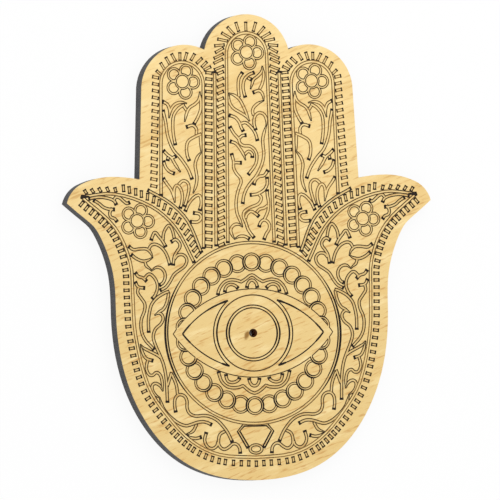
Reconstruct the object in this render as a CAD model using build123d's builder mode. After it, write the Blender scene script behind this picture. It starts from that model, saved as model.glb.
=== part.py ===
"""Hamsa hand ornament: a hand sawn by laser from five-ply board, with an eye in its palm.

The face is scored: every drawn stroke is a pair of burnt lines, one along each side of it. The
board lies on its back, scored face up and fingers towards +Y. Outline and artwork are measured
from the middle of the eye, where the board has a hole right through.
"""

import os
from math import cos, radians, sin, sqrt

from build123d import *

os.makedirs("parts", exist_ok=True)

# Board: five veneers and the four glue lines that hold them together
PLY = 1.12
GLUE = 0.10
PUPIL_HOLE_RADIUS = 1.4

# Hand outline: reach of the middle finger and of the palm, then the right half of the rest
FINGER_REACH = 104.0
PALM_REACH = 47.9
MIDDLE_TIP_RADIUS = 14.7
OUTER_TIP_RADIUS = 14.9
OUTER_TIP = (21.2, 79.2)
OUTER_FOOT = (37.4, 50.35)
THUMB_KNUCKLE = (46.8, 51.3)
THUMB_PAD = (57.0, 49.0)
THUMB_TIP = (62.1, 42.8)
THUMB_TIP_SLOPE = (0.75, 0.66)
PALM_SIDE = [(52.3, 34.0), (47.3, 21.0), (46.4, 6.0), (42.2, -18.0), (28.0, -39.0)]

# Burnt lines: width and depth of one line, and width of the stroke between a pair
KERF = 0.34
LINE_DEPTH = 0.30
STROKE = 0.85

# Eye: iris, its rim between the whites, eyelids, ring of beads and the circle round it all
IRIS_RADII = [12.4, 9.1, 8.2]
IRIS_RIM_RADIUS = 13.5
WHITE_RADIUS = 30.4
WHITE_HEIGHT = 11.8
EYELID_RADIUS = 32.9
EYELID_HEIGHT = 14.4
BEAD_COUNT = 30
BEAD_RING_RADIUS = 23.4
BEAD_RADIUS = 3.1
BEAD_BORE = 2.35
EYE_CIRCLE_RADIUS = 29.5

# Flowers: a ring over five petals, all turned the same way
FLOWERS = [(0.0, 91.6), (-22.05, 82.1), (22.05, 82.1), (-38.5, 36.9), (38.5, 36.9)]
PETAL_COUNT = 5
PETAL_TURN = -3
PETAL_REACH = 3.6
PETAL_RADIUS = 2.3
PETAL_BORE = 1.65
FLOWER_RING_RADIUS = 2.6
FLOWER_RING_BORE = 2.05

# Finger panels: arched borders, and the divider between them, on the left half
OUTER_ARCH = (-22.2, 81.2)
OUTER_ARCH_RADIUS = 7.2
OUTER_PANEL_FEET = [(-30.2, 45.2), (-16.2, 27.8)]
MIDDLE_ARCH = (0.0, 91.05)
MIDDLE_ARCH_RADIUS = 6.85
MIDDLE_PANEL_FEET = [(-7.9, 29.6), (7.9, 29.6)]
DIVIDER = [(-11.0, 85.2), (-11.9, 28.6)]

# Palm, thumb and finger borders, on the left half, from the tip of the thumb
PALM_BORDER = [(-57.0, 44.8), (-46.1, 34.8), (-41.2, 23.5), (-40.6, 13.0), (-40.0, 0.0), (-36.1, -16.5),
               (-30.0, -26.2), (-21.7, -34.9), (-12.4, -39.4), (0.0, -40.5)]
THUMB_BORDER = [(-57.0, 44.9), (-46.1, 45.7), (-33.6, 41.5), (-25.6, 34.5), (-19.6, 23.3)]
FINGER_BORDER = [(-34.6, 46.8), (-27.2, 42.6), (-21.4, 36.7), (-17.0, 26.5)]

# Places that follow from the sizes above
EYE_Y = (PALM_REACH - FINGER_REACH) / 2
FACE_HEIGHT = 4 * (PLY + GLUE)


def pen_stroke(edge, width):
    """The face that a round pen of this width inks when it is drawn along an edge."""
    half = width / 2
    steps = 16
    left = []
    right = []
    for step in range(steps + 1):
        at = edge.position_at(step / steps)
        along = edge.tangent_at(step / steps)
        side = Vector(-along.Y, along.X) * half
        left.append(at + side)
        right.append(at - side)
    far_end = edge.position_at(1) + edge.tangent_at(1) * half
    near_end = edge.position_at(0) - edge.tangent_at(0) * half
    rim = [
        Edge.make_spline(left),
        Edge.make_three_point_arc(left[-1], far_end, right[-1]),
        Edge.make_spline(right[::-1]),
        Edge.make_three_point_arc(right[0], near_end, left[0]),
    ]
    return Face(Wire(rim))


def slot_stroke(edge, width):
    """The same along a straight line or an arc."""
    return SlotArc(edge, width, mode=Mode.PRIVATE).face()


def both_sides(faces):
    """Faces of the left half and their mirror images."""
    return faces + [face.mirror(Plane.YZ) for face in faces]


def panel_ink(arch, radius, feet, grow):
    """A panel's border: a leg up from each foot and the half circle that joins them."""
    left_leg = Line(feet[0], (arch[0] - radius, arch[1]))
    right_leg = Line(feet[1], (arch[0] + radius, arch[1]))
    edges = [left_leg, CenterArc(arch, radius, 0, 180), right_leg]
    return [slot_stroke(edge, STROKE + 2 * grow) for edge in edges]


def flower_ink(grow):
    """One flower: a ring laid over the rings of its petals."""
    with BuildSketch() as ink:
        with PolarLocations(PETAL_REACH, PETAL_COUNT, start_angle=PETAL_TURN):
            Circle(PETAL_RADIUS + grow)
        with PolarLocations(PETAL_REACH, PETAL_COUNT, start_angle=PETAL_TURN):
            Circle(PETAL_BORE - grow, mode=Mode.SUBTRACT)
        Circle(FLOWER_RING_RADIUS + grow)
        Circle(FLOWER_RING_BORE - grow, mode=Mode.SUBTRACT)
    return ink.sketch


def border_ink(grow):
    """Strokes outside the eye: its circle, the borders and panels, and the flowers."""
    width = STROKE + 2 * grow
    borders = [pen_stroke(Spline(*path), width) for path in [PALM_BORDER, THUMB_BORDER, FINGER_BORDER]]
    borders.append(slot_stroke(Line(*DIVIDER), width))
    borders += panel_ink(OUTER_ARCH, OUTER_ARCH_RADIUS, OUTER_PANEL_FEET, grow)
    with BuildSketch() as ink:
        Circle(EYE_CIRCLE_RADIUS + width / 2)
        Circle(EYE_CIRCLE_RADIUS - width / 2, mode=Mode.SUBTRACT)
        add(both_sides(borders) + panel_ink(MIDDLE_ARCH, MIDDLE_ARCH_RADIUS, MIDDLE_PANEL_FEET, grow))
        with Locations(*FLOWERS):
            add(flower_ink(grow))
    return ink.sketch


def bead_place(number):
    """Middle of a bead, counted from the top one down the left side."""
    angle = radians(90 + number * 360 / BEAD_COUNT)
    return (BEAD_RING_RADIUS * cos(angle), BEAD_RING_RADIUS * sin(angle))


def bead_ink(grow):
    """The ring of beads: each laps over the next one up, and the top bead over both beside it."""
    rings = []
    for number in range(BEAD_COUNT // 4 + 1):
        over = {0: [], 1: [0, 2]}.get(number, [number + 1])
        with BuildSketch() as ring:
            with Locations(bead_place(number)):
                Circle(BEAD_RADIUS + grow)
            with Locations(*[bead_place(bead) for bead in [number] + over]):
                Circle(BEAD_BORE - grow, mode=Mode.SUBTRACT)
        rings += ring.faces()
    rings += [ring.mirror(Plane.XZ) for ring in rings]
    with BuildSketch() as ink:
        add(both_sides(rings))
    return ink.sketch


def burnt_pair(ink):
    """The two burnt lines along the sides of the strokes that a function inks."""
    with BuildSketch() as lines:
        add(ink(KERF / 2))
        add(ink(-KERF / 2), mode=Mode.SUBTRACT)
    return lines.sketch


# Outline of the hand: palm with both thumbs, three fingers and the hole in the pupil
with BuildSketch() as hand:
    with BuildLine():
        Spline((0, -PALM_REACH), *reversed(PALM_SIDE), THUMB_TIP, tangents=[(1, 0), THUMB_TIP_SLOPE])
        pad = TangentArc(THUMB_KNUCKLE, THUMB_PAD, tangent=(1, 0))
        TangentArc(THUMB_PAD, THUMB_TIP, tangent=pad % 1)
        TangentArc(THUMB_KNUCKLE, OUTER_FOOT, tangent=(-1, 0))
        Line(OUTER_FOOT, (0, OUTER_FOOT[1]))
        mirror(about=Plane.YZ)
    make_face()
    with BuildLine():
        finger_side = (OUTER_TIP[0] + OUTER_TIP_RADIUS, OUTER_TIP[1])
        Polyline((0, 0), (0, OUTER_TIP[1]), finger_side, OUTER_FOOT, (0, 0))
        mirror(about=Plane.YZ)
    make_face()
    with Locations(OUTER_TIP, (-OUTER_TIP[0], OUTER_TIP[1])):
        Circle(OUTER_TIP_RADIUS)
    middle_tip_y = FINGER_REACH - MIDDLE_TIP_RADIUS
    Rectangle(2 * MIDDLE_TIP_RADIUS, middle_tip_y, align=(Align.CENTER, Align.MIN))
    with Locations((0, middle_tip_y)):
        Circle(MIDDLE_TIP_RADIUS)
    Circle(PUPIL_HOLE_RADIUS, mode=Mode.SUBTRACT)

# Eye: eyelids over the ring of beads, whites whose edges stop at the iris rim, and the iris
lid_middle = EYELID_HEIGHT - EYELID_RADIUS
lid_corner = sqrt(EYELID_RADIUS**2 - lid_middle**2)
white_middle = WHITE_HEIGHT - WHITE_RADIUS
white_corner = sqrt(WHITE_RADIUS**2 - white_middle**2)
rim_y = (IRIS_RIM_RADIUS**2 + white_middle**2 - WHITE_RADIUS**2) / (2 * white_middle)
rim_x = sqrt(IRIS_RIM_RADIUS**2 - rim_y**2)
with BuildSketch() as eyelid:
    with BuildLine():
        ThreePointArc((-lid_corner, 0), (0, EYELID_HEIGHT), (lid_corner, 0))
        mirror(about=Plane.XZ)
    make_face()
white_edges = [
    RadiusArc((-white_corner, 0), (-rim_x, rim_y), WHITE_RADIUS),
    RadiusArc((-white_corner, 0), (-rim_x, -rim_y), -WHITE_RADIUS),
    ThreePointArc((-rim_x, rim_y), (-IRIS_RIM_RADIUS, 0), (-rim_x, -rim_y)),
]
with BuildSketch() as eye:
    add(burnt_pair(bead_ink))
    offset(eyelid.sketch, amount=KERF / 2)
    offset(eyelid.sketch, amount=-KERF / 2, mode=Mode.SUBTRACT)
    add(both_sides([slot_stroke(edge, KERF) for edge in white_edges]))
    for radius in IRIS_RADII:
        Circle(radius + KERF / 2)
        Circle(radius - KERF / 2, mode=Mode.SUBTRACT)

# Face veneer, scored with the eye, the borders and the flowers
borders = burnt_pair(border_ink)
with BuildPart() as face_veneer:
    with BuildSketch(Plane((0, EYE_Y, FACE_HEIGHT))):
        add(hand.sketch)
    extrude(amount=PLY)
    with BuildSketch(Plane((0, EYE_Y, FACE_HEIGHT + PLY))):
        add(eye.sketch)
        add(borders)
    extrude(amount=-LINE_DEPTH, mode=Mode.SUBTRACT)
face_veneer.part.label = "face_veneer"
export_step(face_veneer.part, "parts/face_veneer.step")

# Veneers and glue lines under the face, from the back up, all cut to the same hand
UNDER_FACE = ["back_veneer", "lower_crossband", "core_veneer", "upper_crossband"]
GLUE_LINES = ["back_glue_line", "lower_glue_line", "upper_glue_line", "face_glue_line"]
for layer in range(len(UNDER_FACE)):
    height = layer * (PLY + GLUE)
    with BuildPart() as veneer:
        with BuildSketch(Plane((0, EYE_Y, height))):
            add(hand.sketch)
        extrude(amount=PLY)
    veneer.part.label = UNDER_FACE[layer]
    export_step(veneer.part, f"parts/{UNDER_FACE[layer]}.step")
    with BuildPart() as glue_line:
        with BuildSketch(Plane((0, EYE_Y, height + PLY))):
            add(hand.sketch)
        extrude(amount=GLUE)
    glue_line.part.label = GLUE_LINES[layer]
    export_step(glue_line.part, f"parts/{GLUE_LINES[layer]}.step")
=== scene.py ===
from math import atan2, cos, degrees, pi, radians, sin, sqrt

import bmesh
import bpy
from mathutils import Matrix, Vector, geometry
from mathutils.kdtree import KDTree


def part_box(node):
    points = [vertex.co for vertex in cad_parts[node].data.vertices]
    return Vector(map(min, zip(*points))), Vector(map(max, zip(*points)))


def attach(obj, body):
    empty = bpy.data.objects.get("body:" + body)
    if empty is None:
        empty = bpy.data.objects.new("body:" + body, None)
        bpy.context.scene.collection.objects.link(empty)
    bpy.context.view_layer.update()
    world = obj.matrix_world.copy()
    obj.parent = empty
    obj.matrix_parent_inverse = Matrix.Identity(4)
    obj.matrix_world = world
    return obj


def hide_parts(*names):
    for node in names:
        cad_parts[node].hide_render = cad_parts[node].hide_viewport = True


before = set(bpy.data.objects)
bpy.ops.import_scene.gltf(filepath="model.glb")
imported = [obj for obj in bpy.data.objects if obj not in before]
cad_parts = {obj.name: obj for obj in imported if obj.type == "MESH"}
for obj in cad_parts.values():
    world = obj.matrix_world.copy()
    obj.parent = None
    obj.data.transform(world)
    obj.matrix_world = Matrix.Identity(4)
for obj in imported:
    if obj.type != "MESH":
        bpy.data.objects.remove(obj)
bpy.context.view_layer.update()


# Face veneer: the pale maple sheet on top, glued to the sheet below, cut to the hand by laser and scored
# by it. Each drawn stroke is a pair of burnt lines, so the drawing's shapes are laid over one another both
# a little wide and a little narrow, and the wood that only the wide ones ink is sunk. In mm from the eye.
EYE_Y = -28.05
KERF = 0.34
BOLD_KERF = 0.42
LINE_DEPTH = 0.30
shapes = []
scorches = []


def flipped(points):
    """The same points on the other half of the hand."""
    return [Vector((-at.x, at.y)) for at in reversed(points)]


def lay(level, inked, burn, outline, mirrored=False, kerf=KERF):
    """Lays a shape over those of lower levels, as ink or wiped clear.

    outline(grow) is its edge, moved out by grow, and burn says how dark its lines are, 0 to 1.
    """
    for wide in (True, False):
        edge = outline(kerf / 2 if wide == inked else -kerf / 2)
        shapes.append((edge, wide, level, inked, burn))
        if mirrored:
            shapes.append((flipped(edge), wide, level, inked, burn))


SMALL_RADIUS = 4
SMALL_SIDES = 20
LARGE_SIDES = 72


def disc(level, inked, burn, centre, radius, mirrored=False, squash=0.0, kerf=KERF):
    """Lays a round shape, whose half height is less than its radius by squash."""
    count = SMALL_SIDES if radius < SMALL_RADIUS else LARGE_SIDES

    def outline(grow):
        turns = [2 * pi * step / count for step in range(count)]
        wide = radius + grow
        high = wide - squash
        return [Vector((centre[0] + wide * cos(turn), centre[1] + high * sin(turn))) for turn in turns]

    lay(level, inked, burn, outline, mirrored, kerf)


BEND_POINTS = 5


def smooth(path):
    """Points along a smooth line through those of a path."""
    knots = [Vector(point) for point in path]
    knots = [2 * knots[0] - knots[1]] + knots + [2 * knots[-1] - knots[-2]]
    line = [knots[1]]
    for before, start, end, after in zip(knots, knots[1:], knots[2:], knots[3:]):
        reach = (end - start).length / 3
        leaving = start + (end - before).normalized() * reach
        arriving = end - (after - start).normalized() * reach
        line += geometry.interpolate_bezier(start, leaving, arriving, end, BEND_POINTS)[1:]
    return line


def arc(centre, radius, start, sweep):
    """Points along an arc, in degrees."""
    steps = 24
    turns = [radians(start + sweep * step / steps) for step in range(steps + 1)]
    return [Vector((centre[0] + radius * cos(turn), centre[1] + radius * sin(turn))) for turn in turns]


INNER_BEND = 0.97


def pen_edge(line, halves):
    """Edge of the band that a flat pen leaves along a line, from its half width at each point.

    Points that the band itself covers, on the inside of a bend, are left out.
    """
    sides = [[], []]
    for before, at, after, half in zip(line[:1] + line, line, line[1:] + line[-1:], halves):
        along = (after - before).normalized()
        for points, turn in zip(sides, (1, -1)):
            point = at + Vector((along.y, -along.x)) * half * turn
            if min((point - other).length for other in line) > INNER_BEND * half:
                points.append(point)
    return sides[0] + sides[1][::-1]


def score(level, line, widest, narrowest=KERF, mirrored=True):
    """Burns one dark line over what is below its level, widest halfway along."""
    swell = [sin(pi * step / (len(line) - 1)) for step in range(len(line))]
    edge = pen_edge(line, [(narrowest + (widest - narrowest) * share) / 2 for share in swell])
    for outline in (edge, flipped(edge)) if mirrored else (edge,):
        shapes.append((outline, True, level, True, 1.0))
        shapes.append((outline, False, level, False, 0.0))


BLOT_SPREAD = 1.5 * KERF
BLOT_BEYOND = 0.4
BLOT_BACK = 0.6


def blot(level, end, along, width, length, mirrored):
    """Burns the flat end of a stroke solid, over this length."""
    overall = width + BLOT_SPREAD
    line = [end - along * length * BLOT_BACK, end + along * length * BLOT_BEYOND]
    score(level, line, overall, overall, mirrored)


STROKE = 0.85
STROKE_BLOT = 0.75
TIP_LENGTH = 2.2
TIP_SHARE = 0.25
FINEST_HALF = 0.03
OVER = 0.5


def stroke(level, burn, line, mirrored=False, tips=(False, False), dark_ends=(True, True), kerf=KERF):
    """Lays a pen stroke along a line, drawn out to a point at its tips, its other ends burnt solid."""
    run = [0.0]
    for start, end in zip(line, line[1:]):
        run.append(run[-1] + (end - start).length)
    shares = []
    for at in run:
        to_tips = [away for away, tip in zip((at, run[-1] - at), tips) if tip]
        shares.append(min([1.0] + [TIP_SHARE + (1 - TIP_SHARE) * (away / TIP_LENGTH) for away in to_tips]))

    def outline(grow):
        first = (line[0] - line[1]).normalized() * grow
        last = (line[-1] - line[-2]).normalized() * grow
        return pen_edge([line[0] + first] + line[1:-1] + [line[-1] + last],
                        [max(STROKE / 2 * share + grow, FINEST_HALF) for share in shares])

    lay(level, True, burn, outline, mirrored, kerf)
    for end, inner, tip, dark in zip((line[0], line[-1]), (line[1], line[-2]), tips, dark_ends):
        if dark:
            scorches.extend([end] + flipped([end]) if mirrored else [end])
        if dark and not tip:
            blot(level + OVER, end, (end - inner).normalized(), STROKE, STROKE_BLOT, mirrored)


DASH_LEVEL = 0
DASH_BLOT = 0.48
MIDDLE = 0.1


def dash(start, end, width=0.76, burn=0.6):
    """Lays one outlined dash with solid ends, and its twin on the other half unless it is in the middle."""
    along = (end - start).normalized()
    across = Vector((-along.y, along.x))

    def outline(grow):
        long = along * grow
        wide = across * (width / 2 + grow)
        return [start - long - wide, end + long - wide, end + long + wide, start - long + wide]

    mirrored = start.x < -MIDDLE
    lay(DASH_LEVEL, True, burn, outline, mirrored)
    blot(DASH_LEVEL + OVER, start, -along, width, DASH_BLOT, mirrored)
    blot(DASH_LEVEL + OVER, end, along, width, DASH_BLOT, mirrored)


def evenly(starts):
    """Places of marks in even stretches, from where each stretch starts and how many marks it has."""
    places = []
    for (start, count), following in zip(starts, starts[1:]):
        places += [start + (following[0] - start) * step / count for step in range(count)]
    return places + [starts[-1][0]]


# Borders of palm, thumb and outer finger, and the divider between the fingers, on the left half
palm_border = smooth([(-57.0, 44.8), (-46.1, 34.8), (-41.2, 23.5), (-40.6, 13.0), (-40.0, 0.0),
                      (-36.1, -16.5), (-30.0, -26.2), (-21.7, -34.9), (-12.4, -39.4), (0.0, -40.5)])
thumb_border = smooth([(-57.0, 44.9), (-46.1, 45.7), (-33.6, 41.5), (-25.6, 34.5), (-19.6, 23.3)])
finger_border = smooth([(-34.6, 46.8), (-27.2, 42.6), (-21.4, 36.7), (-17.0, 26.5)])
divider = [Vector((-11.0, 85.2)), Vector((-11.9, 28.6))]

# Finger panels: up from one foot, round a half circle and down to the other foot
outer_panel = [Vector((-30.2, 45.2))] + arc((-22.2, 81.2), 7.2, 180, -180) + [Vector((-16.2, 27.8))]
middle_panel = [Vector((-7.9, 29.6))] + arc((0.0, 91.05), 6.85, 180, -180) + [Vector((7.9, 29.6))]
BORDER_LEVEL = 2
for border, burn, mirrored in [
        (palm_border + flipped(palm_border)[1:], 0.25, False), (thumb_border, 0.5, True),
        (finger_border, 0.95, True), (divider, 0.4, True),
        (outer_panel, 0.35, True), (middle_panel, 0.35, False)]:

    def band(grow):
        """Edge of the whole band of this border."""
        return pen_edge(border, [STROKE / 2 + grow] * len(border))

    lay(BORDER_LEVEL - 1, False, 0.0, band, mirrored)
    stroke(BORDER_LEVEL, burn, border, mirrored)

# The borders are darker where palm and thumb meet and at the thumb's foot, with a bar over the corner
for border in (palm_border[:4], thumb_border[:3], thumb_border[-4:]):
    scorches.extend(border + flipped(border))
corner_bar = [Vector((-57.5, 44.85)), Vector((-56.3, 44.85)), Vector((-54.4, 44.9))]
BAR_LEVEL = BORDER_LEVEL + OVER + 0.1
score(BAR_LEVEL, corner_bar, 1.0, 0.5)

# Dashes outside the borders of palm and thumb: where along the border, at what angle to it, from and to
# how far out, and how burnt
for border, starts, angle, near, far, burn in [
        (palm_border, [(1.3, 11), (24.8, 1)], -90, 0.8, 2.75, 0.95),
        (palm_border, [(27.1, 7), (43.2, 12), (71.3, 6), (84.6, 5), (93.2, 5), (103.95, 4), (114.3, 1)],
         -90, 1.15, 2.95, 0.6),
        (thumb_border, [(2.1, 4), (11.8, 1)], 115, 0.8, 2.3, 0.95),
        (thumb_border, [(14.4, 16), (47.0, 1)], 110, 1.4, 3.6, 0.8)]:
    places = evenly(starts)
    run = 0.0
    for start, end in zip(border, border[1:]):
        length = (end - start).length
        along = (end - start).normalized()
        out = Matrix.Rotation(radians(angle), 2) @ along
        for place in places:
            if run <= place < run + length:
                foot = start + along * (place - run)
                dash(foot + out * near, foot + out * far, burn=burn)
        run += length
lowest = palm_border[-1]
dash(lowest - Vector((0.0, 1.15)), lowest - Vector((0.0, 2.95)))

# Dashes round the tops of the fingers, by their ends
top_dashes = [
    (-30.8, 85.7, -29.2, 84.3), (-29.3, 88.2, -28.0, 86.0), (-27.5, 90.0, -26.2, 87.7),
    (-25.5, 91.1, -24.2, 88.7), (-22.7, 91.5, -22.7, 89.0), (-20.3, 91.5, -21.1, 89.0),
    (-17.7, 91.1, -19.0, 89.0), (-15.2, 89.7, -17.1, 88.0), (-13.6, 88.5, -15.4, 86.8),
    (-12.3, 86.9, -14.6, 85.8), (-3.4, 101.3, -2.5, 98.4), (-6.3, 99.8, -4.1, 97.4),
    (-8.3, 97.9, -5.3, 96.2), (-9.7, 95.9, -6.3, 95.2), (-10.8, 93.7, -7.5, 94.0),
    (-10.6, 91.5, -7.8, 93.0), (-11.1, 89.6, -7.9, 91.1), (-11.2, 88.0, -8.1, 89.4),
    (-11.1, 85.9, -7.9, 87.1), (0.0, 101.4, 0.0, 98.4),
]
for x, y, foot_x, foot_y in top_dashes:
    dash(Vector((x, y)), Vector((foot_x, foot_y)), width=0.68, burn=0.4)

# Dashes up the sides of the fingers: top and foot of a column, which leans, then length, tilt and burn of
# its dashes, and their heights
for (top_x, top_y), (foot_x, foot_y), length, tilt, burn, starts in [
        ((-31.2, 81.0), (-32.6, 48.2), 2.15, -12, 0.22, [(83.5, 16), (48.15, 1)]),
        ((-13.0, 84.0), (-14.4, 28.4), 2.2, -6, 0.5, [(84.9, 8), (68.5, 18), (28.4, 1)]),
        ((-9.05, 85.0), (-10.1, 29.0), 2.25, 21, 0.35, [(84.9, 26), (28.9, 1)])]:
    reach = Vector((cos(radians(tilt)), sin(radians(tilt)))) * length / 2
    for y in evenly(starts):
        middle = Vector((top_x + (foot_x - top_x) * (y - top_y) / (foot_y - top_y), y))
        dash(middle - reach, middle + reach, burn=burn)

# Vines of the outer fingers, on the left half, from the flower down
outer_vines = [
    [(-28.9, 75.6), (-27.3, 74.6), (-26.6, 72.3), (-26.9, 70.3)],
    [(-26.9, 70.3), (-26.3, 72.8), (-24.8, 74.7), (-22.7, 75.35), (-20.8, 75.0)],
    [(-21.6, 74.6), (-23.7, 73.3), (-25.3, 71.0), (-25.7, 67.5), (-25.5, 64.5), (-25.0, 61.6)],
    [(-16.2, 78.7), (-16.6, 76.2), (-17.9, 74.8), (-19.8, 73.6), (-20.8, 72.0), (-21.6, 69.1)],
    [(-21.9, 74.2), (-20.9, 72.7)],
    [(-16.2, 78.5), (-16.0, 76.0), (-16.1, 73.0), (-17.2, 70.3), (-18.4, 68.3)],
    [(-21.0, 67.3), (-18.9, 67.8), (-17.7, 66.6), (-17.8, 64.8)],
    [(-16.1, 65.0), (-18.5, 64.0), (-20.6, 62.6), (-21.2, 60.5), (-21.0, 58.0), (-20.4, 56.4)],
    [(-16.4, 64.6), (-16.2, 59.0)],
    [(-16.1, 59.2), (-17.6, 57.4), (-18.4, 55.0), (-18.1, 52.5), (-17.9, 50.5), (-18.3, 48.2),
     (-19.3, 45.8)],
    [(-28.9, 72.7), (-28.1, 69.0), (-27.5, 64.5), (-25.8, 60.0), (-23.2, 57.0), (-20.9, 53.6),
     (-19.6, 50.4)],
    [(-29.0, 59.6), (-27.6, 58.2), (-26.5, 57.4), (-25.2, 55.2), (-23.5, 52.7)],
    [(-27.5, 57.6), (-27.7, 56.5)],
    [(-26.3, 57.2), (-24.9, 57.8)],
    [(-29.1, 56.2), (-28.4, 54.2), (-27.1, 52.8), (-25.6, 52.2)],
    [(-29.3, 50.6), (-28.2, 48.9), (-26.8, 47.0), (-26.0, 45.0), (-25.6, 42.8)],
    [(-25.6, 43.0), (-25.8, 46.5), (-24.9, 48.3), (-23.6, 47.3), (-23.0, 45.0), (-23.3, 42.5),
     (-23.8, 41.0)],
    [(-24.2, 48.6), (-22.6, 49.8), (-21.1, 49.1), (-20.7, 47.3), (-21.3, 44.5), (-22.3, 41.5)],
    [(-22.1, 40.0), (-20.6, 42.8), (-17.5, 45.1), (-16.6, 43.0), (-17.2, 40.2)],
    [(-19.3, 39.3), (-17.3, 38.9), (-16.8, 37.6), (-18.0, 36.4), (-20.4, 36.4)],
]

# Vine of the middle finger, from the flower down
middle_vines = [
    [(-1.6, 84.9), (-2.8, 83.0), (-3.1, 80.5), (-2.9, 77.0)],
    [(2.4, 84.9), (0.6, 84.2), (-0.9, 82.7), (-1.45, 80.5), (-1.2, 78.4), (-0.8, 77.0)],
    [(0.2, 83.2), (1.5, 82.6)],
    [(-6.3, 78.2), (-4.6, 77.6), (-2.8, 76.2), (-1.2, 73.2), (0.3, 69.4)],
    [(-6.3, 78.2), (-6.3, 75.6), (-5.0, 73.4), (-2.6, 71.9), (-0.6, 70.6), (0.4, 69.1)],
    [(5.3, 87.0), (5.0, 85.2), (3.7, 83.8), (2.2, 82.6), (1.6, 81.0), (1.1, 79.6)],
    [(5.35, 86.8), (5.7, 84.0), (5.2, 81.5), (4.2, 79.5)],
    [(2.0, 78.4), (4.0, 79.0), (5.2, 77.8), (5.5, 75.7)],
    [(5.4, 75.7), (3.6, 74.9), (2.0, 73.5), (1.6, 72.2), (1.9, 71.0)],
    [(2.5, 66.3), (2.0, 68.4), (2.4, 70.7), (3.9, 71.8), (5.6, 71.1), (6.3, 69.3), (6.2, 67.5)],
    [(6.1, 67.5), (4.9, 63.5), (4.9, 60.9), (5.1, 58.6), (4.7, 56.0), (3.6, 53.3), (2.2, 51.0), (0.4, 49.0),
     (-1.1, 47.0), (-2.1, 44.7), (-2.5, 42.3)],
    [(-6.3, 71.0), (-4.4, 70.3), (-3.0, 68.7), (-2.5, 67.3), (-1.8, 65.9)],
    [(-2.6, 68.2), (-0.9, 68.6), (1.1, 67.0), (2.4, 65.0), (3.0, 62.8)],
    [(-6.2, 67.2), (-4.9, 65.0), (-3.4, 63.3), (-3.0, 62.0), (-1.8, 61.1), (0.4, 60.9), (2.0, 59.7),
     (2.7, 57.8), (2.2, 55.0), (-0.3, 51.7)],
    [(-3.2, 63.4), (-2.2, 64.3), (-0.9, 64.5)],
    [(-6.2, 62.5), (-4.4, 61.8), (-2.85, 59.9), (-1.8, 58.1), (-1.2, 56.4)],
    [(-1.4, 58.2), (-0.1, 59.2), (1.1, 58.4), (1.15, 57.3)],
    [(-5.9, 58.4), (-5.3, 56.0), (-5.3, 53.8), (-4.4, 52.0), (-3.2, 50.6), (-2.9, 49.2), (-3.6, 47.5),
     (-4.4, 45.0), (-4.8, 42.0), (-4.5, 39.0), (-3.6, 36.8), (-2.8, 34.7)],
    [(-5.1, 55.6), (-2.7, 55.5)],
    [(1.5, 48.4), (2.0, 49.8), (3.4, 51.0), (5.0, 51.3), (6.3, 52.9)],
    [(6.0, 50.6), (6.0, 48.5), (5.0, 46.7), (3.5, 45.7), (2.2, 45.2), (0.2, 45.0)],
    [(3.0, 45.2), (3.9, 44.0), (2.9, 42.1), (0.0, 40.9), (-2.0, 39.6), (-2.4, 38.0), (-1.6, 36.0),
     (-0.8, 33.6), (1.0, 31.1)],
    [(-1.7, 37.3), (-1.2, 38.6), (0.2, 39.6), (1.7, 38.9), (2.8, 38.0)],
    [(2.1, 39.2), (3.2, 40.3), (4.75, 40.7), (6.1, 41.6)],
    [(5.9, 46.5), (6.0, 44.7), (6.3, 42.7), (6.15, 40.2), (5.5, 38.4), (4.7, 37.0)],
    [(2.9, 34.7), (3.5, 36.1), (4.75, 36.8), (6.3, 35.6), (6.3, 33.8), (5.3, 32.3), (4.5, 30.5)],
    [(-2.8, 34.6), (-3.9, 35.4), (-5.6, 35.3), (-6.8, 33.8), (-6.4, 32.0), (-5.5, 30.6)],
    [(-5.5, 30.7), (-3.9, 31.5), (-2.1, 31.5), (-0.6, 30.7)],
]

# Vines of the thumb, on the left half, from its tip
thumb_vines = [
    [(-54.6, 44.2), (-51.8, 44.7), (-49.6, 44.6), (-47.4, 44.1), (-46.1, 43.4), (-45.5, 42.3)],
    [(-46.3, 43.8), (-45.4, 44.7), (-44.2, 44.4), (-42.9, 43.3), (-41.9, 42.6), (-41.0, 42.9)],
    [(-53.0, 43.7), (-51.2, 42.6), (-49.9, 41.5), (-48.0, 40.8), (-46.2, 40.7)],
    [(-46.9, 41.1), (-47.7, 39.6), (-47.4, 38.3), (-46.1, 37.7), (-45.4, 36.8)],
]

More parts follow.
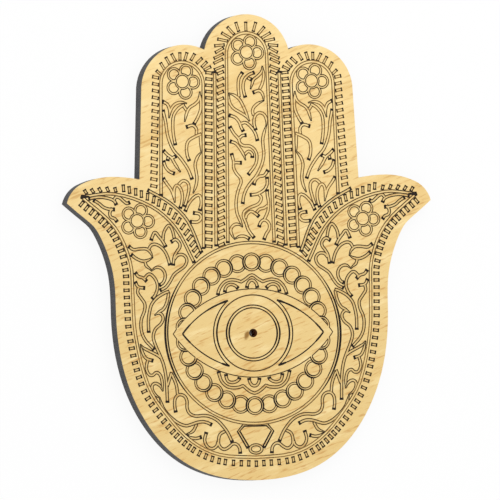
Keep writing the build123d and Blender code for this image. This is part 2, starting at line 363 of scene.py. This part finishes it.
# Vine of the palm, on the left half, from the flower down and round under the eye
palm_vines = [
    [(-33.9, 30.7), (-33.4, 32.0), (-32.6, 33.1), (-31.4, 31.9), (-30.1, 30.3), (-29.1, 28.5)],
    [(-29.9, 30.6), (-29.7, 32.6), (-28.8, 34.5), (-27.7, 35.3), (-26.6, 33.5), (-26.1, 31.2)],
    [(-27.1, 30.0), (-25.6, 30.7), (-24.3, 29.4), (-24.3, 28.2), (-25.3, 26.8), (-26.2, 25.2),
     (-26.7, 22.5)],
    [(-41.5, 28.6), (-40.0, 27.6), (-37.8, 27.8), (-35.5, 27.7), (-34.2, 26.5), (-33.6, 25.0)],
    [(-40.7, 25.9), (-39.0, 24.6), (-36.8, 23.8), (-34.9, 24.2), (-33.6, 25.0)],
    [(-34.9, 27.6), (-33.9, 29.0), (-32.4, 29.2), (-30.4, 28.1), (-28.8, 25.8), (-27.8, 22.6)],
    [(-26.2, 24.4), (-24.9, 25.7), (-23.0, 25.6), (-22.0, 24.0), (-22.8, 22.0), (-24.8, 20.6),
     (-26.5, 19.3), (-27.8, 17.2), (-29.3, 15.3), (-31.2, 14.3)],
    [(-36.2, 23.7), (-35.8, 22.3), (-34.6, 21.3), (-34.0, 20.6)],
    [(-34.0, 20.7), (-32.5, 21.7), (-30.9, 21.5), (-29.7, 20.2), (-29.5, 18.4), (-30.3, 16.7),
     (-31.4, 16.0)],
    [(-39.5, 20.0), (-38.6, 18.9), (-37.1, 18.4), (-35.9, 17.4)],
    [(-36.6, 18.2), (-35.0, 19.6), (-33.6, 18.9), (-32.4, 17.0), (-32.2, 14.9), (-33.0, 12.8),
     (-34.0, 11.6)],
    [(-39.6, 17.0), (-38.7, 15.5), (-36.6, 15.1)],
    [(-38.6, 15.3), (-38.9, 13.6), (-37.7, 11.7), (-36.6, 9.9), (-36.8, 7.6), (-37.8, 5.2), (-38.1, 2.9),
     (-37.7, 0.2), (-36.5, -2.1), (-35.0, -3.7), (-33.9, -4.8)],
    [(-28.3, 13.9), (-30.0, 13.3), (-32.4, 11.9), (-34.2, 9.9), (-35.0, 7.6), (-35.5, 4.6), (-35.5, 0.8)],
    [(-28.4, 13.4), (-29.1, 10.4), (-30.3, 8.2), (-31.8, 7.3), (-33.3, 6.2)],
    [(-33.3, 6.3), (-31.5, 6.8), (-30.5, 5.3), (-31.3, 3.4), (-33.2, 1.7), (-34.0, -0.8), (-33.3, -3.5),
     (-31.8, -7.0), (-30.7, -10.0), (-30.0, -14.0), (-29.8, -18.0), (-29.7, -22.0)],
    [(-38.4, -3.2), (-37.4, -4.3), (-35.0, -5.6), (-32.7, -6.8), (-31.7, -7.6)],
    [(-38.4, -3.3), (-37.7, -5.9), (-36.6, -7.7), (-34.4, -8.5)],
    [(-36.0, -8.2), (-36.5, -10.0), (-36.5, -11.5), (-35.6, -13.1), (-34.4, -13.2), (-33.3, -12.4),
     (-32.1, -13.0), (-31.4, -15.0), (-31.2, -18.4)],
    [(-31.2, -18.4), (-32.2, -16.6), (-33.8, -15.9), (-34.8, -16.8), (-34.5, -18.6), (-33.5, -19.8),
     (-32.2, -20.6)],
    [(-32.3, -20.7), (-31.3, -23.7), (-30.0, -25.6), (-28.1, -27.5), (-25.8, -29.1), (-23.6, -29.8),
     (-21.7, -29.4), (-19.8, -28.8), (-17.8, -28.6), (-16.2, -29.0), (-15.0, -29.6)],
    [(-20.0, -29.4), (-21.4, -31.7), (-23.6, -32.6)],
    [(-23.6, -32.6), (-22.3, -33.6), (-20.4, -34.0), (-18.6, -33.6)],
    [(-28.1, -12.5), (-29.6, -16.8)],
    [(-28.0, -13.0), (-26.6, -16.5), (-26.2, -19.7)],
    [(-27.0, -25.2), (-27.3, -23.0), (-27.0, -20.8), (-25.7, -19.7), (-23.9, -20.2), (-23.1, -21.8),
     (-23.1, -24.0), (-22.3, -25.8), (-20.4, -26.7), (-17.8, -26.6), (-15.6, -26.9), (-13.0, -28.2),
     (-11.1, -30.1), (-9.5, -32.3), (-8.1, -35.2)],
    [(-16.8, -32.2), (-17.4, -34.6), (-16.6, -36.6), (-15.0, -37.4), (-13.4, -36.6), (-12.9, -35.2)],
    [(-10.4, -31.8), (-12.1, -32.8), (-12.7, -34.9), (-12.4, -36.6), (-10.9, -37.7), (-9.2, -37.0),
     (-7.9, -36.0), (-6.6, -36.1), (-5.6, -37.3), (-5.4, -39.0)],
]
# Strokes end flat, but run out to a point where two ends meet and at these tips of leaves
leaf_points = [(-20.8, 75.0), (-21.6, 69.1), (1.1, 79.6), (-23.5, 52.7), (0.3, 69.4), (-19.3, 45.8),
               (-1.2, 56.4)]
leaf_tips = [Vector(point) for point in leaf_points]
VINE_LEVEL = 0
MEETING = 0.45
BURIED = 0.6
for vines, burn, mirrored in [(outer_vines, 0.34, True), (middle_vines, 0.34, False),
                              (thumb_vines, 0.95, True), (palm_vines, 0.72, True)]:
    lines = [smooth(vine) for vine in vines]
    for line in lines:
        others = [other for other in lines if other is not line]
        meets = [at for other in others for at in (other[0], other[-1])] + leaf_tips
        tips = []
        dark_ends = []
        for end in (line[0], line[-1]):
            tip = any((end - at).length < MEETING for at in meets)
            clear = all((end - at).length > BURIED for other in others for at in other)
            tips.append(tip)
            dark_ends.append(tip or clear)
        stroke(VINE_LEVEL, burn, line, mirrored, tips, dark_ends)

# Gem, drawn in bold lines, and its ring under the big circle
GEM_KERF = 0.52
gem = [Vector(point) for point in [(-2.7, -37.2), (-5.8, -31.9), (-3.9, -29.85), (0.0, -29.85)]]
gem_ring = (0.0, -37.75)
stroke(VINE_LEVEL, 1.0, gem + flipped(gem)[1:], kerf=GEM_KERF)
disc(VINE_LEVEL + 1, True, 0.7, gem_ring, 2.45, squash=0.75)
disc(VINE_LEVEL + 2, False, 0.7, gem_ring, 1.6, squash=0.6)

# Flowers: a ring over five petals, all turned the same way, and scorched between the petals
PETAL_LEVEL = 1
HEART_LEVEL = 3
petals = 5
petal_turn = -3
petal_reach = 3.6
gap_reach = 3.0
for x, y in [(0.0, 91.6), (-22.05, 82.1), (22.05, 82.1), (-38.5, 36.9), (38.5, 36.9)]:
    for petal in range(petals):
        turn = radians(360 / petals * petal + petal_turn)
        centre = (x + petal_reach * cos(turn), y + petal_reach * sin(turn))
        disc(PETAL_LEVEL, True, 0.45, centre, 2.3)
        disc(PETAL_LEVEL + 1, False, 0.0, centre, 1.65)
        gap = turn + pi / petals
        scorches.append(Vector((x + gap_reach * cos(gap), y + gap_reach * sin(gap))))
    disc(HEART_LEVEL, True, 0.45, (x, y), 2.6)
    disc(HEART_LEVEL + 1, False, 0.0, (x, y), 2.05)

# Circle round the eye, wiped clear of what is below, a ring inked over it and burnt darker at its sides
CIRCLE_LEVEL = 5
eye = (0.0, 0.0)
circle_radius = 29.5
circle_outside = circle_radius + STROKE / 2
circle_inside = circle_radius - STROKE / 2
disc(CIRCLE_LEVEL, False, 0.0, eye, circle_outside)
disc(CIRCLE_LEVEL + 1, True, 0.4, eye, circle_outside)
disc(CIRCLE_LEVEL + 2, False, 0.0, eye, circle_inside)
score(CIRCLE_LEVEL + 2 + OVER, arc(eye, circle_outside, 145, 75), 0.75)
score(CIRCLE_LEVEL + 2 + OVER, arc(eye, circle_inside, 150, 60), 0.5)

# Ring of beads: those at the sides lap over the next ones up or down, and the top and bottom ones over both
# beside them, with a dark edge on each bead. The ring sits a little below the middle of the eye.
BEAD_LEVEL = 10
TOP_BEAD_LEVEL = 40
bead_ring = 23.4
bead_drop = 0.25
bead_outside = 2.95
bead_inside = 2.28
bead_step = 12
side_beads = 7
lap_half = 55
for bead in list(range(1, side_beads + 1)) + [0]:
    level = BEAD_LEVEL + 2 * bead if bead else TOP_BEAD_LEVEL
    turn = 90 + bead_step * bead
    for flip in (1, -1):
        centre = (bead_ring * cos(radians(turn)), bead_ring * sin(radians(turn)) * flip - bead_drop)
        lap_start = flip * (turn - 90 - bead_step / 2) - lap_half
        disc(level, True, 0.5, centre, bead_outside, mirrored=bead > 0)
        disc(level + 1, False, 0.0, centre, bead_inside, mirrored=bead > 0)
        score(level + 1, arc(centre, bead_outside, lap_start, 2 * lap_half), 0.58)
        score(level + 1, arc(centre, bead_inside, lap_start, 2 * lap_half), 0.46)

# Scalloped crests over and under the eye, on the left half: lobe and peak in one line, the ring in the
# lobe, and the bud
CREST_LEVEL = 45
CREST_BURN = 0.6
for lobe, peak, ring, bud in [
        ([(-11.7, 12.7), (-11.5, 13.7), (-10.7, 15.3), (-9.2, 16.8), (-7.2, 17.4), (-5.2, 17.2),
          (-3.7, 16.7)],
         [(-3.7, 16.7), (-2.0, 17.7), (-0.8, 18.6), (0.0, 18.9)],
         [(-9.3, 13.6), (-9.1, 14.6), (-8.4, 15.5), (-7.2, 15.9), (-5.8, 15.5), (-4.9, 14.7)],
         [(-1.75, 14.9), (-1.5, 16.0), (-0.7, 17.0), (0.0, 17.2)]),
        ([(-12.1, -12.5), (-11.9, -13.5), (-11.1, -15.6), (-9.6, -17.1), (-7.8, -17.7), (-5.3, -17.6),
          (-3.9, -17.1)],
         [(-3.9, -17.1), (-2.4, -18.4), (-1.2, -19.2), (0.0, -19.6)],
         [(-9.6, -13.5), (-9.5, -14.4), (-9.0, -15.5), (-7.8, -16.0), (-6.4, -15.8), (-5.3, -15.1),
          (-5.1, -14.6)],
         [(-1.75, -14.9), (-1.6, -15.8), (-0.9, -16.9), (0.0, -17.2)])]:
    half = smooth(lobe) + smooth(peak)[1:]
    stroke(CREST_LEVEL, CREST_BURN, half + flipped(half)[1:])
    stroke(CREST_LEVEL, CREST_BURN, smooth(ring), mirrored=True)
    half = [Vector(point) for point in bud]
    stroke(CREST_LEVEL, CREST_BURN, smooth(half + flipped(half)[1:]))

# Eye: eyelids, the whites, whose edges stop at the iris rim, and the rings of the iris, all single lines
EYE_LEVEL = 50
lid_radius = 32.9
lid_height = 14.4
white_radius = 30.4
white_height = 11.8
rim_radius = 13.5
iris_radius = 12.4
ring_outside = 9.1
ring_inside = 8.2


def eyelids(grow):
    """Edge of the eye, two arcs that meet at its corners."""
    middle = lid_height - lid_radius
    radius = lid_radius + grow
    corner = sqrt(radius**2 - middle**2)
    steps = 36
    upper = []
    for step in range(steps):
        x = corner * cos(pi * step / steps)
        upper.append(Vector((x, middle + sqrt(radius**2 - x**2))))
    return upper + [-at for at in upper]


lay(EYE_LEVEL, True, 0.6, eyelids)
disc(EYE_LEVEL + 1, False, 0.8, eye, iris_radius, kerf=BOLD_KERF)
disc(EYE_LEVEL + 2, True, 0.8, eye, ring_outside, kerf=BOLD_KERF)
disc(EYE_LEVEL + 3, False, 0.8, eye, ring_inside, kerf=BOLD_KERF)

# The edge of a white, from the corner of the eye to the rim, burnt wider at both its ends
white_middle = white_height - white_radius
white_corner = sqrt(white_radius**2 - white_middle**2)
rim_y = (rim_radius**2 + white_middle**2 - white_radius**2) / (2 * white_middle)
rim_x = sqrt(rim_radius**2 - rim_y**2)
rim_turn = degrees(atan2(rim_y, -rim_x))
white_edge = []
white_steps = 12
white_ends = 3
heavier_from = 5
for step in range(white_steps + 1):
    x = -white_corner + (white_corner - rim_x) * step / white_steps
    white_edge.append(Vector((x, white_middle + sqrt(white_radius**2 - x**2))))
WHITE_LEVEL = EYE_LEVEL + 1
for edge in (white_edge, [Vector((at.x, -at.y)) for at in white_edge]):
    score(WHITE_LEVEL, edge, BOLD_KERF)
    score(WHITE_LEVEL, edge[:white_ends], 0.62, 0.55)
    score(WHITE_LEVEL, edge[-white_ends:], 0.8, 0.6)
score(WHITE_LEVEL, arc(eye, rim_radius, rim_turn, 360 - 2 * rim_turn), BOLD_KERF)
score(WHITE_LEVEL, white_edge[heavier_from:], 0.6)
for radius in (iris_radius, ring_outside, ring_inside):
    score(EYE_LEVEL + 3 + OVER, arc(eye, radius, 135, 90), 0.6)


def on_top(over, wide):
    """Level, ink and burn of the uppermost shape, among the wide or the narrow ones over a spot."""
    found = [shapes[number][2:] for number in over if shapes[number][1] == wide]
    return max(found, default=(0, False, 0.0))


# The sheet itself: the sheet below lifted to the top, its upper side cut along all the shapes
plate = bmesh.new()
plate.from_mesh(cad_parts["upper_crossband"].data)
bmesh.ops.remove_doubles(plate, verts=plate.verts, dist=1e-7)
face_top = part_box("face_veneer")[1].z
bmesh.ops.translate(plate, verts=plate.verts, vec=(0, 0, face_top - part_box("upper_crossband")[1].z))
lid = [face for face in plate.faces if face.normal.z > 0.5]
lid_edges = dict.fromkeys(edge for face in lid for edge in face.edges)
rim = [edge for edge in lid_edges if any(beside.normal.z < 0.5 for beside in edge.link_faces)]
rim_verts = list(dict.fromkeys(vert for edge in rim for vert in edge.verts))
points = [Vector((vert.co.x * 1000, vert.co.y * 1000 - EYE_Y)) for vert in rim_verts]
number = {vert: index for index, vert in enumerate(rim_verts)}
rim_pairs = [[number[vert] for vert in edge.verts] for edge in rim]
outlines = []
for shape in shapes:
    outlines.append(list(range(len(points), len(points) + len(shape[0]))))
    points += shape[0]
INSIDE_ONLY = 1
SAME_SPOT = 1e-4
cut = geometry.delaunay_2d_cdt(points, rim_pairs, outlines, INSIDE_ONLY, SAME_SPOT)
spots = cut[0]
corners = cut[2]
of_spots = cut[3]
covers = cut[5]
bmesh.ops.delete(plate, geom=lid, context="FACES")
burn_layer = plate.faces.layers.float.new("burn")
verts = []
for spot, sources in zip(spots, of_spots):
    on_rim = [rim_verts[source] for source in sources if source < len(rim_verts)]
    place = (spot.x / 1000, (spot.y + EYE_Y) / 1000, face_top)
    verts.append(on_rim[0] if on_rim else plate.verts.new(place))

# Its faces: grooves are burnt, most of all near a scorch, and the wood inside a stroke is a little tanned
HOLE_REACH = 1.41
SCORCH_REACH = 2.4
INSIDE_BURN = 0.08
MOST_INSIDE = 0.6
sunk = []
scorched = KDTree(len(scorches))
for index, end in enumerate(scorches):
    scorched.insert(end.to_3d(), index)
scorched.balance()
for corner, over in zip(corners, covers):
    if all(spots[index].length < HOLE_REACH for index in corner):
        continue
    middle = sum((spots[index] for index in corner), Vector((0, 0))) / 3
    face = plate.faces.new([verts[index] for index in corner])
    level, inked, burn = on_top(over, True)
    if inked and not on_top(over, False)[1]:
        near = max(0.0, 1 - scorched.find(middle.to_3d())[2] / SCORCH_REACH)
        face[burn_layer] = burn + (1.0 - burn) * near
        sunk.append(face)
    elif inked and level < EYE_LEVEL:
        face[burn_layer] = INSIDE_BURN * min(burn, MOST_INSIDE)

# The grooves are sunk, with walls as burnt as the floor beside them
grooves = bmesh.ops.extrude_face_region(plate, geom=sunk)["geom"]
lowered = [piece for piece in grooves if isinstance(piece, bmesh.types.BMVert)]
bmesh.ops.translate(plate, verts=lowered, vec=(0, 0, -LINE_DEPTH / 1000))
floors = {piece for piece in grooves if isinstance(piece, bmesh.types.BMFace)}
for face in floors:
    for edge in face.edges:
        for wall in set(edge.link_faces) - floors:
            wall[burn_layer] = face[burn_layer]
bmesh.ops.delete(plate, geom=sunk, context="FACES")
bmesh.ops.delete(plate, geom=[vert for vert in plate.verts if not vert.link_faces], context="VERTS")
face_mesh = bpy.data.meshes.new("engraved_face")
plate.to_mesh(face_mesh)
plate.free()
face_mesh.attributes.remove(face_mesh.attributes["custom_normal"])
face_mesh.polygons.foreach_set("use_smooth", [True] * len(face_mesh.polygons))
face_mesh.set_sharp_from_angle(angle=radians(30))
engraved_face = bpy.data.objects.new("engraved_face", face_mesh)
bpy.context.scene.collection.objects.link(engraved_face)
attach(engraved_face, "root")
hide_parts("face_veneer")


class Grain:
    """One output of a finish's nodes. Sums, differences and products of outputs add Math nodes."""

    def __init__(self, tree, socket=None):
        self.tree = tree
        self.socket = socket

    def node(self, kind, settings, sockets, output=0):
        """Adds a node of a kind with its settings, then the values or links of its sockets."""
        made = self.tree.nodes.new("ShaderNode" + kind)
        for name, value in settings.items():
            setattr(made, name, value)
        for name, value in sockets.items():
            if isinstance(value, Grain):
                self.tree.links.new(value.socket, made.inputs[name])
            else:
                made.inputs[name].default_value = value
        return Grain(self.tree, made.outputs[output])

    def maths(self, operation, first, second):
        return self.node("Math", {"operation": operation}, {0: first, 1: second})

    def __add__(self, other):
        return self.maths("ADD", self, other)

    def __sub__(self, other):
        return self.maths("SUBTRACT", self, other)

    def __mul__(self, other):
        return self.maths("MULTIPLY", self, other)

    def show(self):
        """Ends the nodes of a material in this surface."""
        end = self.tree.nodes.new("ShaderNodeOutputMaterial")
        self.tree.links.new(self.socket, end.inputs["Surface"])


def tint(red, green, blue):
    """A colour as a screen shows it, 0 to 255, as the light that it sends."""
    return tuple((part / 255 / 12.92 if part < 10.3 else ((part / 255 + 0.055) / 1.055) ** 2.4)
                 for part in (red, green, blue)) + (1.0,)


def step_up(value, low, high):
    """0 below low, 1 above high, and a smooth rise between."""
    sockets = {"Value": value, "From Min": low, "From Max": high}
    return value.node("MapRange", {"interpolation_type": "SMOOTHSTEP"}, sockets)


def blend(share, first, second):
    """Colour that goes from first to second with share."""
    return share.node("Mix", {"data_type": "RGBA"}, {0: share, 6: first, 7: second}, output=2)


def finish(name):
    """A new material and a start for its nodes."""
    material = bpy.data.materials.new(name)
    material.use_nodes = True
    material.node_tree.nodes.clear()
    return material, Grain(material.node_tree)


def coat(start, colour, roughness, height, bump):
    """Ends a material's nodes in a surface of this colour and roughness, with a bump in metres."""
    raised = start.node("Bump", {}, {"Strength": 1.0, "Distance": bump, "Height": height})
    sockets = {"Base Color": colour, "Roughness": roughness, "Normal": raised, "Specular IOR Level": 0.25}
    start.node("BsdfPrincipled", {}, sockets).show()


def mottle(place, scale, detail, roughness):
    """Noise stretched by a scale for each axis."""
    stretched = place.node("Mapping", {}, {"Vector": place, "Scale": scale})
    sockets = {"Vector": stretched, "Scale": 1.0, "Detail": detail, "Roughness": roughness}
    return place.node("TexNoise", {}, sockets)


def maple(start):
    """Colour and height of sanded maple veneer, its grain rising to the right, with short darker flecks,
    and painted light that makes it paler towards the fingers.
    """
    place = start.node("TexCoord", {}, {}, output="Object")
    grain_turn = {"Vector": place, "Rotation": (0, 0, radians(-20))}
    turned = start.node("Mapping", {"vector_type": "POINT"}, grain_turn)
    flecks = mottle(turned, (170, 1150, 1), 2.0, 0.55)
    bands = mottle(turned, (22, 150, 1), 3.0, 0.6)
    cream = mottle(turned, (75, 330, 1), 3.0, 0.6)
    pores = mottle(turned, (700, 7000, 1), 2.0, 0.6)
    # Painted light: the wood is painted paler towards the fingers, as if the lamp beyond them lit that end
    # more, and it has fewer flecks there
    height = start.node("SeparateXYZ", {}, {0: place}, output="Y")
    painted_light_toward_fingers = step_up(height + (bands - 0.5) * 0.06, -0.05, 0.07)
    tone = blend(painted_light_toward_fingers, tint(236, 205, 138), tint(251, 220, 153))
    tone = blend(step_up(cream, 0.5, 0.72) * 0.7, tone, tint(255, 232, 172))
    tone = blend(step_up(bands, 0.45, 0.72) * 0.55, tone, tint(230, 190, 116))
    fleck_share = step_up(flecks + (bands - 0.5) * 0.25, 0.54, 0.7) * (painted_light_toward_fingers * -0.2 + 0.75)
    tone = blend(fleck_share, tone, tint(205, 154, 84))
    tone = blend(step_up(pores, 0.5, 0.8) * 0.25, tone, tint(222, 182, 114))
    return tone, pores


def from_hole(place):
    """Square of how far a place is from the axis of the hole."""
    aside = place.node("SeparateXYZ", {}, {0: place}, output="X")
    away = place.node("SeparateXYZ", {}, {0: place}, output="Y") - EYE_Y / 1000
    return away * away + aside * aside


def soot(start):
    """Colour and height of an edge charred by the laser, in upright streaks, and browner in the hole."""
    place = start.node("TexCoord", {}, {}, output="Object")
    streaks = mottle(place, (2600, 2600, 90), 2.0, 0.6)
    cloud = mottle(place, (160, 160, 60), 2.0, 0.5)
    shade = blend(step_up(streaks, 0.3, 0.72), tint(61, 61, 62), tint(77, 76, 76))
    shade = blend(step_up(cloud, 0.55, 0.8) * 0.35, shade, tint(86, 79, 72))
    shade = blend(step_up(from_hole(place), 0.002**2, 0.003**2), tint(140, 88, 50), shade)
    return shade, streaks


def upward(start):
    """How far a face looks up, from 1 on the top to -1 on the back."""
    normal = start.node("NewGeometry", {}, {}, output="Normal")
    return start.node("SeparateXYZ", {}, {0: normal}, output="Z")


# Its finish: sanded maple on the flat, soot on the edge, and char in the grooves by how burnt they are
BUMP = 0.00003
face_finish, start = finish("scored_maple")
wood, wood_height = maple(start)
edge_shade = soot(start)[0]
flat = step_up(upward(start), 0.4, 0.6)
burn = start.node("Attribute", {"attribute_name": "burn"}, {}, output="Fac")
place = start.node("TexCoord", {}, {}, output="Object")
flicker = start.node("TexNoise", {}, {"Vector": place, "Scale": 900.0, "Detail": 2.0, "Roughness": 0.6})
deep = burn + (flicker - 0.5) * 0.35
char = blend(step_up(deep, 0.2, 0.6), tint(172, 136, 76), tint(96, 67, 30))
char = blend(step_up(deep, 0.55, 1.0), char, tint(38, 25, 12))
# A small golden-brown oval at the lower left of the hole, its edge broken up by noise
smudge_place = {"Vector": place, "Location": (-0.0021, EYE_Y / 1000 - 0.0006, 0.0),
                "Rotation": (0, 0, radians(-22)), "Scale": (0.0010, 0.0016, 1.0)}
from_smudge = start.node("Mapping", {"vector_type": "TEXTURE"}, smudge_place)
smudge = start.node("VectorMath", {"operation": "LENGTH"}, {0: from_smudge}, output="Value")
smudge = smudge + (flicker - 0.5) * 0.9
wood_with_oval = blend(step_up(smudge, 0.4, 1.25), tint(158, 116, 54), wood)
colour = blend(step_up(burn, 0.02, 0.1), blend(flat, edge_shade, wood_with_oval), char)
coat(start, colour, 0.62, wood_height, BUMP)
face_mesh.materials.append(face_finish)

# Inner veneers and back: four more sheets of the plywood, pressed and glued crosswise and cut in the same
# pass as the face. Only their charred edges and the bare sanded back show.
inner_finish, start = finish("charred_ply")
wood, wood_height = maple(start)
edge_shade = soot(start)[0]
flat = step_up(start.maths("ABSOLUTE", upward(start), 0.0), 0.4, 0.6)
coat(start, blend(flat, edge_shade, wood), 0.65, wood_height, BUMP)
for name in ("upper_crossband", "core_veneer", "lower_crossband", "back_veneer"):
    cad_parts[name].material_slots[0].material = inner_finish

# Glue lines: thin dark films of resin, spread between the veneers and cured in the press. The laser burnt
# them at the edge like the wood.
glue_finish, start = finish("burnt_glue")
edge_shade, edge_height = soot(start)
coat(start, edge_shade, 0.5, edge_height, 0.00002)
for name in ("back_glue_line", "lower_glue_line", "upper_glue_line", "face_glue_line"):
    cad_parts[name].material_slots[0].material = glue_finish

# Floor: a plain white sheet that the hand lies on. It shows white to the camera, apart from the hand's
# shadow, and stays dark behind the hole.
floor_half = 3.0
floor_drop = 0.0002
floor_mesh = bpy.data.meshes.new("floor")
sheet = bmesh.new()
bmesh.ops.create_grid(sheet, x_segments=1, y_segments=1, size=floor_half)
bmesh.ops.translate(sheet, verts=sheet.verts, vec=(0, 0, -floor_drop))
sheet.to_mesh(floor_mesh)
sheet.free()
floor = bpy.data.objects.new("floor", floor_mesh)
bpy.context.scene.collection.objects.link(floor)
floor_finish, start = finish("white_floor")
white = start.node("BsdfDiffuse", {}, {"Color": (0.96, 0.96, 0.96, 1.0)})
glow = start.node("Emission", {}, {"Color": (1.0, 1.0, 1.0, 1.0), "Strength": 1.0})
rays = ("Is Camera Ray", "Is Glossy Ray", "Is Transmission Ray")
seen = [start.node("LightPath", {}, {}, output=ray) for ray in rays]
place = start.node("TexCoord", {}, {}, output="Object")
beside_hole = step_up(from_hole(place), 0.004**2, 0.006**2)
share = start.maths("MINIMUM", seen[0] + seen[1] + seen[2], 1.0) * beside_hole * 0.9
start.node("MixShader", {}, {0: share, 1: white, 2: glow}).show()
floor_mesh.materials.append(floor_finish)

# Light: an even white surround, and one large soft lamp beyond the fingers that gives the grooves and the
# edge a little shade.
world = bpy.data.worlds.new("surround")
world.use_nodes = True
world.node_tree.nodes["Background"].inputs["Color"].default_value = (1.0, 1.0, 1.0, 1.0)
world.node_tree.nodes["Background"].inputs["Strength"].default_value = 0.77
bpy.context.scene.world = world
lamp = bpy.data.lights.new("soft_lamp", "AREA")
lamp.shape = "DISK"
lamp.size = 1.2
lamp.energy = 4.0
lamp_object = bpy.data.objects.new("soft_lamp", lamp)
lamp_object.location = (0.25, 0.45, 0.9)
lamp_object.rotation_euler = (-lamp_object.location).to_track_quat("-Z", "Y").to_euler()
bpy.context.scene.collection.objects.link(lamp_object)

# Camera: a long lens far above the hand, looking from the left and a little below the eye, so that the
# sawn edge shows along the left.
sight = Vector((-0.30, -0.04, 0.0))
sight.z = sqrt(1 - sight.length_squared)
right = Vector((0, 1, 0)).cross(sight).normalized()
above = sight.cross(right)
roll = radians(-1.38)
turn = Matrix((right, above, sight)).transposed() @ Matrix.Rotation(roll, 3, "Z")
aim = Vector((-0.00041, -0.00101, face_top))
distance = 2.7135
camera = bpy.data.objects.new("camera", bpy.data.cameras.new("camera"))
camera.data.lens = 600
camera.matrix_world = Matrix.Translation(aim + sight * distance) @ turn.to_4x4()
bpy.context.scene.collection.objects.link(camera)
bpy.context.scene.camera = camera
bpy.context.scene.view_settings.view_transform = "Standard"
